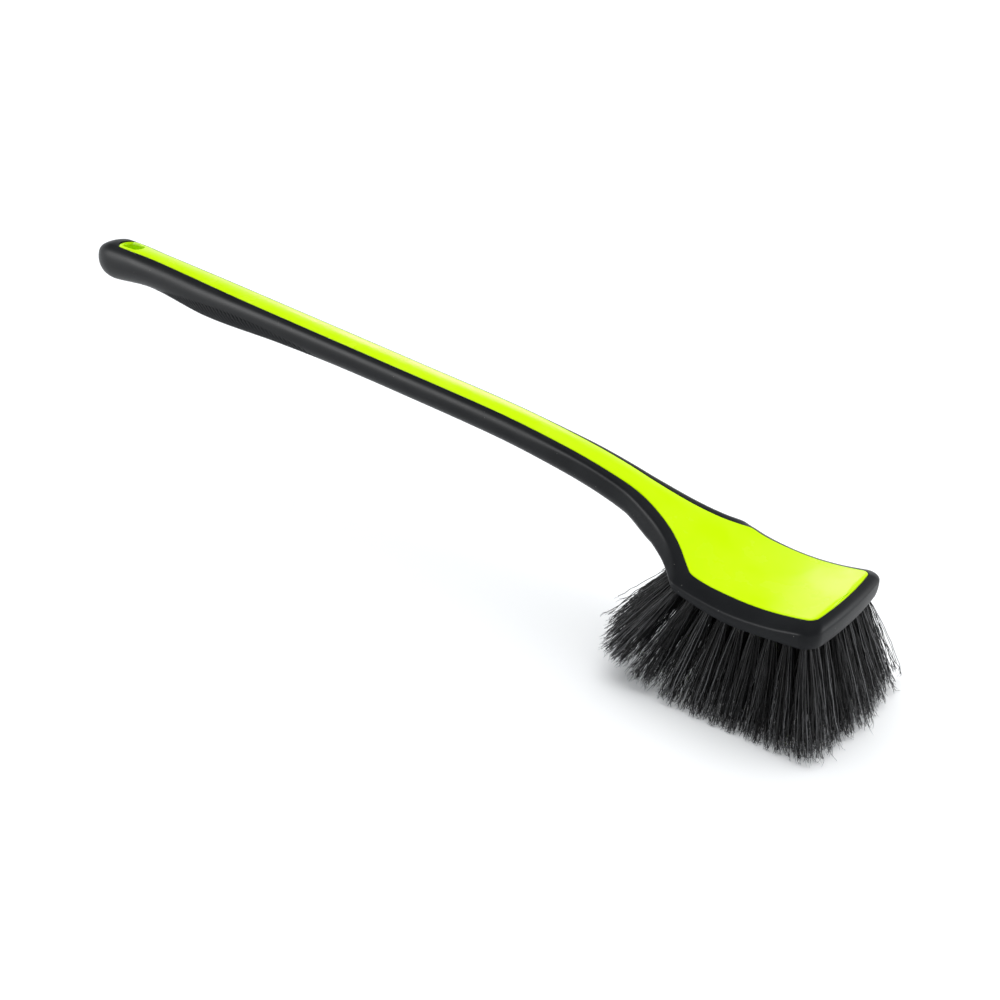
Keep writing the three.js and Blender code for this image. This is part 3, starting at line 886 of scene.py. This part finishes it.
def core_plastic():
    """Bright lime polypropylene with a satin moulded face."""
    material, nodes, links, shader = new_material("lime_plastic")
    place = nodes.new("ShaderNodeTexCoord").outputs["Object"]
    cloud = noise(nodes, links, 45, 4, place)
    color = ramp(nodes, links, cloud, 0.3, 0.75, (0.61, 0.94, 0.0), (0.63, 0.95, 0.0))
    links.new(color, shader.inputs["Base Color"])
    sharper = ramp(nodes, links, cloud, 0.42, 0.6, (0, 0, 0), (1, 1, 1))
    links.new(between(nodes, links, sharper, 0.16, 0.28), shader.inputs["Roughness"])
    grain = noise(nodes, links, 2600, 2, place)
    links.new(bump(nodes, links, grain, 0.12, 0.0001), shader.inputs["Normal"])
    shader.inputs["Specular IOR Level"].default_value = 0.25
    shader.inputs["Specular Tint"].default_value = (0.5, 1, 0.35, 1)
    return material


def grip_rubber():
    """Near-black soft-touch rubber with a fine matte grain and a few dust specks."""
    material, nodes, links, shader = new_material("black_rubber")
    place = nodes.new("ShaderNodeTexCoord").outputs["Object"]
    cloud = noise(nodes, links, 55, 4, place)
    base = ramp(nodes, links, cloud, 0.3, 0.8, (0.011, 0.0117, 0.013), (0.016, 0.017, 0.0185))
    cells = nodes.new("ShaderNodeTexVoronoi")
    cells.inputs["Scale"].default_value = 230
    links.new(place, cells.inputs["Vector"])
    speck = ramp(nodes, links, cells.outputs["Distance"], 0.03, 0.045, (1, 1, 1), (0, 0, 0))
    tint = nodes.new("ShaderNodeMix")
    tint.data_type = "RGBA"
    links.new(speck, tint.inputs["Factor"])
    links.new(base, tint.inputs["A"])
    tint.inputs["B"].default_value = (0.22, 0.22, 0.2, 1)
    links.new(tint.outputs["Result"], shader.inputs["Base Color"])
    links.new(between(nodes, links, cloud, 0.34, 0.44), shader.inputs["Roughness"])
    grain = noise(nodes, links, 3200, 3, place)
    links.new(bump(nodes, links, grain, 0.25, 0.00012), shader.inputs["Normal"])
    shader.inputs["Specular IOR Level"].default_value = 0.12
    shader.inputs["Specular Tint"].default_value = (0.55, 0.55, 0.55, 1)
    return material


def bristle_fibre():
    """Black polypropylene filaments, each a slightly different tone; the light filaments are painted
    glints, and the darkening towards the roots is painted shade under the head.
    """
    material, nodes, links, shader = new_material("black_bristle")
    tone = nodes.new("ShaderNodeAttribute")
    tone.attribute_name = "strand_tone_and_glint"
    # The strand tone runs from near-black to light grey: the light end is painted glints on the
    # filaments.
    color = ramp(nodes, links, tone.outputs["Fac"], 0.1, 1.0, (0.0025, 0.0025, 0.003),
                 (0.27, 0.27, 0.28))
    links.new(color, shader.inputs["Base Color"])
    links.new(between(nodes, links, tone.outputs["Fac"], 0.55, 0.4), shader.inputs["Roughness"])
    shader.inputs["Specular IOR Level"].default_value = 0.22
    return material


def floor_paint():
    material, nodes, links, shader = new_material("pale_floor")
    shader.inputs["Base Color"].default_value = (0.9, 0.91, 0.92, 1)
    shader.inputs["Roughness"].default_value = 0.9
    shader.inputs["Emission Color"].default_value = (0.97, 0.985, 1, 1)
    shader.inputs["Emission Strength"].default_value = FLOOR_GLOW
    return material


# ---------------------------------------------------------------- stage


def make_floor():
    size = FLOOR_HALF_SIZE
    mesh = bpy.data.meshes.new("floor")
    mesh.from_pydata([(-size, -size, 0), (size, -size, 0), (size, size, 0), (-size, size, 0)],
                     [], [(0, 1, 2, 3)])
    floor = new_object("floor", mesh)
    floor.location.z = cad_low.z - FLOOR_DROP
    floor.data.materials.append(floor_paint())


def make_world():
    """White studio walls under a darker ceiling."""
    world = bpy.data.worlds.new("studio")
    world.use_nodes = True
    nodes, links = world.node_tree.nodes, world.node_tree.links
    parts = nodes.new("ShaderNodeSeparateXYZ")
    links.new(nodes.new("ShaderNodeTexCoord").outputs["Generated"], parts.inputs["Vector"])
    shades = nodes.new("ShaderNodeValToRGB")
    shades.color_ramp.interpolation = "EASE"
    for position, tone in WORLD_TONES:
        if position == 0:
            stop = shades.color_ramp.elements[0]
        elif position == 1:
            stop = shades.color_ramp.elements[-1]
        else:
            stop = shades.color_ramp.elements.new(position)
        stop.color = (*[tone * share for share in WORLD_TINT], 1)
    links.new(parts.outputs["Z"], shades.inputs["Fac"])
    links.new(shades.outputs["Color"], nodes["Background"].inputs["Color"])
    bpy.context.scene.world = world


def soft_sun(name, azimuth, elevation, strength, spread, reflected):
    """Distant soft light, either a broad key that leaves no reflection or a reflected panel.

    Azimuth 0 comes from -Y and 90 from +X, as the camera's does.
    """
    light = bpy.data.lights.new(name, "SUN")
    light.energy = strength
    light.angle = math.radians(spread)
    lamp = bpy.data.objects.new(name, light)
    bpy.context.scene.collection.objects.link(lamp)
    a, e = math.radians(azimuth), math.radians(elevation)
    source = Vector((math.sin(a) * math.cos(e), -math.cos(a) * math.cos(e), math.sin(e)))
    lamp.rotation_euler = (-source).to_track_quat("-Z", "Y").to_euler()
    lamp.visible_glossy = reflected
    lamp.visible_diffuse = not reflected


def make_camera():
    camera = bpy.data.objects.new("camera", bpy.data.cameras.new("camera"))
    bpy.context.scene.collection.objects.link(camera)
    a, e = math.radians(CAMERA_AZIMUTH), math.radians(CAMERA_ELEVATION)
    back = Vector((math.sin(a) * math.cos(e), -math.cos(a) * math.cos(e), math.sin(e)))
    camera.location = Vector(to_row(CAMERA_AIM)) + back * CAMERA_DISTANCE / 1000
    camera.rotation_euler = (-back).to_track_quat("-Z", "Y").to_euler()
    camera.data.lens = CAMERA_LENS
    camera.data.clip_start = 0.01
    bpy.context.scene.camera = camera


# ---------------------------------------------------------------- scene

tufts = all_tufts()

core = make_core(tufts)
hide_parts("handle_core")
core.data.materials.clear()
core.data.materials.append(core_plastic())
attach(core, "root")

skin = make_skin(tufts)
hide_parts("grip_overmould")
skin.data.materials.clear()
skin.data.materials.append(grip_rubber())
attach(skin, "root")

fibre = bristle_fibre()
for piece in make_bristles(tufts):
    piece.data.materials.append(fibre)
    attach(piece, "root")

make_floor()
make_world()
soft_sun("overhead", 200, 74, 3.1, 70, reflected=False)
soft_sun("left_softbox", -36, 14, 4.5, 24, reflected=True)
soft_sun("right_softbox", 128, 12, 2.0, 36, reflected=True)
soft_sun("rear_softbox", 215, 20, 0.17, 18, reflected=True)
make_camera()
bpy.context.scene.view_settings.view_transform = "Standard"
